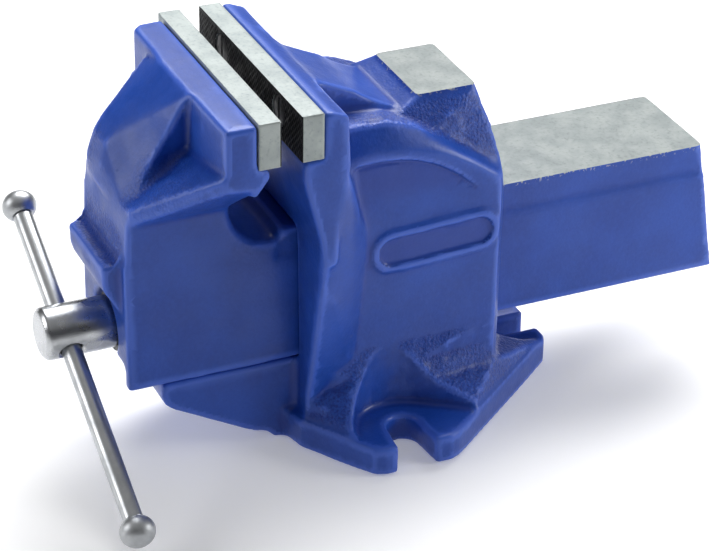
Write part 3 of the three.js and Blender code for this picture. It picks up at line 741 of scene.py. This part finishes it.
def boolean_cut(mesh, tools, smooth_angle=35):
    """mesh less the tools, worked out once and written back into a new mesh."""
    target = new_object("cut_target", mesh)
    cutters = [new_object(f"cutter_{i}", tool) for i, tool in enumerate(tools)]
    for cutter in cutters:
        step = target.modifiers.new(cutter.name, "BOOLEAN")
        step.operation = "DIFFERENCE"
        step.solver = "EXACT"
        step.object = cutter
    shown = target.evaluated_get(bpy.context.evaluated_depsgraph_get())
    result = bpy.data.meshes.new_from_object(shown)
    result.name = mesh.name
    for obj in [target, *cutters]:
        bpy.data.objects.remove(obj)
    result.shade_smooth()
    result.set_sharp_from_angle(angle=math.radians(smooth_angle))
    return result


def box_mesh(name, low, high):
    corners = [(x, y, z) for x in (low[0], high[0]) for y in (low[1], high[1]) for z in (low[2], high[2])]
    faces = [(0, 1, 3, 2), (4, 6, 7, 5), (0, 4, 5, 1), (2, 3, 7, 6), (0, 2, 6, 4), (1, 5, 7, 3)]
    return mesh_from(name, corners, faces)


def piece(name, mesh, material, body, nodes, place=None):
    """A finished piece: its mesh put in place, its material, what it rides on and what it replaces."""
    if place is not None:
        mesh.transform(place)
    obj = new_object(name, mesh)
    dress(obj, material)
    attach(obj, body)
    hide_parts(*nodes)


def threaded_shaft(name):
    """The screw behind its head: plain journal, trapezoidal thread and a turned end."""
    sides = 48
    profile = [(0.0, 0.0), (0.33, 0.0), (0.46, 1.0), (0.87, 1.0)]
    rows = len(profile)
    front, rear = THREAD_FRONT_Y, SHAFT_END_Y
    turns = int((rear - front) / THREAD_LEAD) + 2
    points, faces = [], []
    for j in range(rows * turns):
        turn, (share, dip) = j // rows, profile[j % rows]
        for k in range(sides):
            start = front + THREAD_LEAD * (turn - 1 + share + k / sides)
            y = min(max(start, front), rear)
            fade = smoothstep(front + 0.5, front + 4.5, y)
            radius = SHAFT_R - THREAD_DEPTH * dip * fade
            radius -= 1.2 * smoothstep(rear - 2.4, rear, y)
            angle = 2 * math.pi * k / sides
            points.append((radius * math.cos(angle), radius * math.sin(angle), y))

    def at(j, k):
        return j * sides + k if k < sides else (j + rows) * sides

    for j in range(rows * (turns - 1) - 1):
        for k in range(sides):
            faces.append((at(j, k), at(j, k + 1), at(j + 1, k + 1), at(j + 1, k)))
    work = bmesh.new()
    verts = [work.verts.new(p) for p in points]
    for face in faces:
        work.faces.new([verts[i] for i in face])
    bmesh.ops.remove_doubles(work, verts=work.verts, dist=1e-3)
    bmesh.ops.dissolve_degenerate(work, dist=1e-4, edges=work.edges)
    for vert in [v for v in work.verts if not v.link_faces]:
        work.verts.remove(vert)
    bmesh.ops.holes_fill(work, edges=[e for e in work.edges if e.is_boundary], sides=0)
    bmesh.ops.recalc_face_normals(work, faces=work.faces)
    bmesh.ops.scale(work, vec=(MM, MM, MM), verts=work.verts)
    mesh = bpy.data.meshes.new(name)
    work.to_mesh(mesh)
    work.free()
    mesh.shade_smooth()
    mesh.set_sharp_from_angle(angle=math.radians(32))
    return mesh


def make_screw():
    """The spindle's head with its collar, holes for the bar and the pin, and the threaded shaft behind it."""
    head_length = SHOULDER_Y - HEAD_FRONT_Y
    journal_end = THREAD_FRONT_Y - HEAD_FRONT_Y
    outline = [(0, 0), (1.6, 0), (HEAD_R - 1.6, 0), (HEAD_R, 1.6), (HEAD_R, head_length),
               (SHAFT_R, head_length), (SHAFT_R, journal_end), (0, journal_end)]
    head = turned("spindle_head", eased(outline, 0.7), 96)
    head.transform(along_screw(HEAD_FRONT_Y))
    hole_r = BAR_R + 0.45
    straight, mouth, past = HEAD_R * 0.86, HEAD_R * 0.955, 20
    bar_hole = [(0, -past), (hole_r + 6, -past), (hole_r + 0.9, -mouth), (hole_r, -straight),
                (hole_r, straight), (hole_r + 0.9, mouth), (hole_r + 6, past), (0, past)]
    hole = turned("bar_hole", bar_hole, 48)
    hole.transform(along_bar())
    pin_hole = turned("pin_hole", [(0, -past), (PIN_HOLE_R, -past), (PIN_HOLE_R, past), (0, past)], 24)
    pin_place = Matrix.Translation((0, PIN_Y * MM, AXIS_Z * MM))
    pin_hole.transform(pin_place @ Matrix.Rotation(math.pi / 2, 4, "Y"))
    head = boolean_cut(head, [hole, pin_hole])
    piece("spindle_with_head", head, HEAD_STEEL, "screw", ["main_screw"])
    thread = threaded_shaft("spindle_thread")
    thread.transform(along_screw(0))
    shaft = new_object("spindle_thread", thread)
    dress(shaft, HEAD_STEEL)
    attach(shaft, "screw")


def make_spring():
    """Round wire coiled round the spindle."""
    sides, per_turn = 12, 40
    points, faces = [], []
    count = SPRING_TURNS * per_turn
    length = SPRING_PITCH * SPRING_TURNS
    for i in range(count + 1):
        angle = 2 * math.pi * i / per_turn
        outward = np.array([math.cos(angle), 0, math.sin(angle)])
        centre = SPRING_R * outward + (0, SPRING_FRONT_Y + SPRING_WIRE_R + length * i / count, AXIS_Z)
        for k in range(sides):
            turn = 2 * math.pi * k / sides
            offset = SPRING_WIRE_R * (math.cos(turn) * outward + math.sin(turn) * np.array([0, 1, 0]))
            points.append(tuple(centre + offset))
    for i in range(count):
        for k in range(sides):
            a, b = i * sides + k, i * sides + (k + 1) % sides
            faces.append((a, b, b + sides, a + sides))
    faces.append(tuple(reversed(range(sides))))
    faces.append(tuple(range(count * sides, (count + 1) * sides)))
    piece("return_spring", mesh_from("return_spring", points, faces), DARK_STEEL, "screw", ["screw_spring"])


def make_bar():
    """The rod, whose thin ends go into the balls, and the two balls with their flat shoulders."""
    low, high = -BAR_DOWN + KNOB_FLAT, BAR_UP - KNOB_FLAT
    spigot_r, spigot = 2.6, 3
    outline = [(0, low - spigot), (spigot_r, low - spigot), (spigot_r, low), (BAR_R, low),
               (BAR_R, high), (spigot_r, high), (spigot_r, high + spigot), (0, high + spigot)]
    piece("tommy_bar_rod", turned("tommy_bar_rod", eased(outline, 0.4), 64), BAR_STEEL, "bar", ["tommy_bar"],
          along_bar())
    shoulder = -KNOB_FLAT + 0.2
    first = math.asin(shoulder / KNOB_R)
    socket_r, shoulder_r, steps = 2.9, 4.3, 18
    ball = [(0, shoulder + spigot), (socket_r, shoulder + spigot), (socket_r, shoulder),
            (shoulder_r, shoulder)]
    for i in range(1, steps):
        angle = first + (math.pi / 2 - first) * i / steps
        ball.append((KNOB_WIDE_R * math.cos(angle), KNOB_R * math.sin(angle)))
    ball.append((0, KNOB_R))
    for label, distance, way in (("upper", BAR_UP, 1), ("lower", -BAR_DOWN, -1)):
        turn = Matrix.Identity(4) if way > 0 else Matrix.Rotation(math.pi, 4, "X")
        place = along_bar() @ Matrix.Translation((0, 0, distance * MM)) @ turn
        piece(f"bar_ball_{label}", turned(f"bar_ball_{label}", ball, 64), BALL_STEEL, "bar",
              [f"tommy_bar_knob_{label}"], place)


def make_plate_screws():
    """Countersunk slotted screws, sunk a little in their plates."""
    head_r, shank_r, length = 5.4, 2.9, 17.0
    outline = [(0, 0), (head_r - 0.15, 0), (head_r, 0.4), (shank_r, 3.2), (shank_r, length - 0.8),
               (shank_r - 0.8, length), (0, length)]
    jaws = ("fixed", "base", -1, PLATE_LOW[1]), ("sliding", "jaw", 1, SLIDE_PLATE_HIGH[1])
    for jaw, body, side, grip in jaws:
        for label, x in (("left", -SCREW_X), ("right", SCREW_X)):
            name = f"{jaw}_screw_{label}"
            screw = turned(name, eased(outline, 0.12, 2), 48)
            screw = boolean_cut(screw, [box_mesh("slot", (-0.65, -8, -1), (0.65, 8, 1.1))])
            turn = Matrix.Rotation(side * math.pi / 2, 4, "X")
            place = Matrix.Translation((x * MM, (grip - side * SCREW_SINK) * MM, SCREW_Z * MM)) @ turn
            piece(name, screw, DARK_STEEL, body, [f"{jaw}_plate_screw_{label}"], place)


# ---------- CAD pieces that keep their shape ----------
def soften(node, material, width=0.25):
    """A carried-over CAD piece with its own material and eased edges."""
    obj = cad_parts[node]
    dress(obj, material)
    ease = obj.modifiers.new("eased edges", "BEVEL")
    ease.width = width * MM
    ease.segments = 2
    ease.limit_method = "ANGLE"
    ease.angle_limit = math.radians(40)


# ---------- stage ----------
def make_floor():
    """A pale floor, a little below the base, that is almost as bright as the surroundings."""
    reach = 6.0
    corners = [(-reach, -reach, 0), (reach, -reach, 0), (reach, reach, 0), (-reach, reach, 0)]
    mesh = bpy.data.meshes.new("floor")
    mesh.from_pydata(corners, [], [(0, 1, 2, 3)])
    floor = new_object("floor", mesh)
    n = Nodes("pale_floor")
    tone = n.mix(n.ramp(n.noise(900, 2.0), 0.3, 0.7), (0.86, 0.86, 0.86), (0.88, 0.88, 0.88))
    n.shader.inputs["Emission Color"].default_value = (1, 1, 1, 1)
    n.shader.inputs["Emission Strength"].default_value = 0.22
    dress(floor, n.set(color=tone, rough=0.7))
    floor.location.z = -0.0006


def area_light(name, place, target, size, watts, color=(1, 1, 1)):
    data = bpy.data.lights.new(name, "AREA")
    data.shape = "RECTANGLE"
    data.size, data.size_y = size
    data.energy = watts
    data.color = color
    light = bpy.data.objects.new(name, data)
    bpy.context.scene.collection.objects.link(light)
    light.location = place
    light.rotation_euler = (Vector(target) - Vector(place)).to_track_quat("-Z", "Y").to_euler()


def make_world():
    """White studio surroundings, greyer near the horizon so that polished steel has something to show."""
    world = bpy.data.worlds.new("studio")
    world.use_nodes = True
    bpy.context.scene.world = world
    tree = world.node_tree
    place = tree.nodes.new("ShaderNodeTexCoord").outputs["Generated"]
    split = tree.nodes.new("ShaderNodeSeparateXYZ")
    tree.links.new(place, split.inputs[0])
    ramp = tree.nodes.new("ShaderNodeValToRGB")
    tree.links.new(split.outputs["Z"], ramp.inputs["Fac"])
    stops = ramp.color_ramp.elements
    stops[0].position, stops[0].color = 0.0, (0.12, 0.12, 0.13, 1)
    stops[1].position, stops[1].color = 0.85, (1.0, 1.0, 1.0, 1)
    middle = stops.new(0.5)
    middle.color = (0.17, 0.17, 0.18, 1)
    background = tree.nodes["Background"]
    tree.links.new(ramp.outputs["Color"], background.inputs["Color"])
    background.inputs["Strength"].default_value = 0.38


def make_camera():
    """A long lens from the right front, at the height and lean of the reference view."""
    place = Vector((0.83648, -0.39283, 0.58103))
    azimuth, elevation, roll = (math.radians(a) for a in (65.62, 30.07, 0.99))
    back = Vector((math.sin(azimuth) * math.cos(elevation), -math.cos(azimuth) * math.cos(elevation),
                   math.sin(elevation)))
    right = Vector((math.cos(azimuth), math.sin(azimuth), 0))
    up = back.cross(right)
    leaned_right = math.cos(roll) * right + math.sin(roll) * up
    leaned_up = math.cos(roll) * up - math.sin(roll) * right
    turn = Matrix((leaned_right, leaned_up, back)).transposed().to_4x4()
    data = bpy.data.cameras.new("camera")
    data.lens = 138.5
    data.sensor_width = 36
    data.shift_x = 0.0025
    data.shift_y = -0.0034
    camera = bpy.data.objects.new("camera", data)
    camera.matrix_world = Matrix.Translation(place) @ turn
    bpy.context.scene.collection.objects.link(camera)
    bpy.context.scene.camera = camera


make_body()
make_sliding_jaw()
make_plate("fixed_plate_ground", "fixed_jaw_plate", "base", -1, PLATE_LOW, PLATE_HIGH)
make_plate("sliding_plate_ground", "sliding_jaw_plate", "jaw", 1, SLIDE_PLATE_LOW, SLIDE_PLATE_HIGH)
make_screw()
make_spring()
make_bar()
make_plate_screws()
for name in ("thrust_washer", "spring_collar", "retaining_pin", "nut_bolt_front", "nut_bolt_rear",
             "lock_washer_front", "lock_washer_rear"):
    soften(name, DARK_STEEL)
soften("main_nut", BARE_IRON, 0.5)

make_floor()
area_light("top_softbox", (-0.85, 0.5, 1.35), (0, -0.02, 0.08), (1.3, 1.0), 36)
area_light("front_softbox", (-0.5, -1.6, 0.75), (0, -0.05, 0.08), (1.0, 0.8), 11)
area_light("right_rear_light", (0.40, 0.64, 0.31), (0, 0.05, 0.06), (0.3, 0.25), 2.35)
make_world()
make_camera()
view = bpy.context.scene.view_settings
view.view_transform = "Standard"
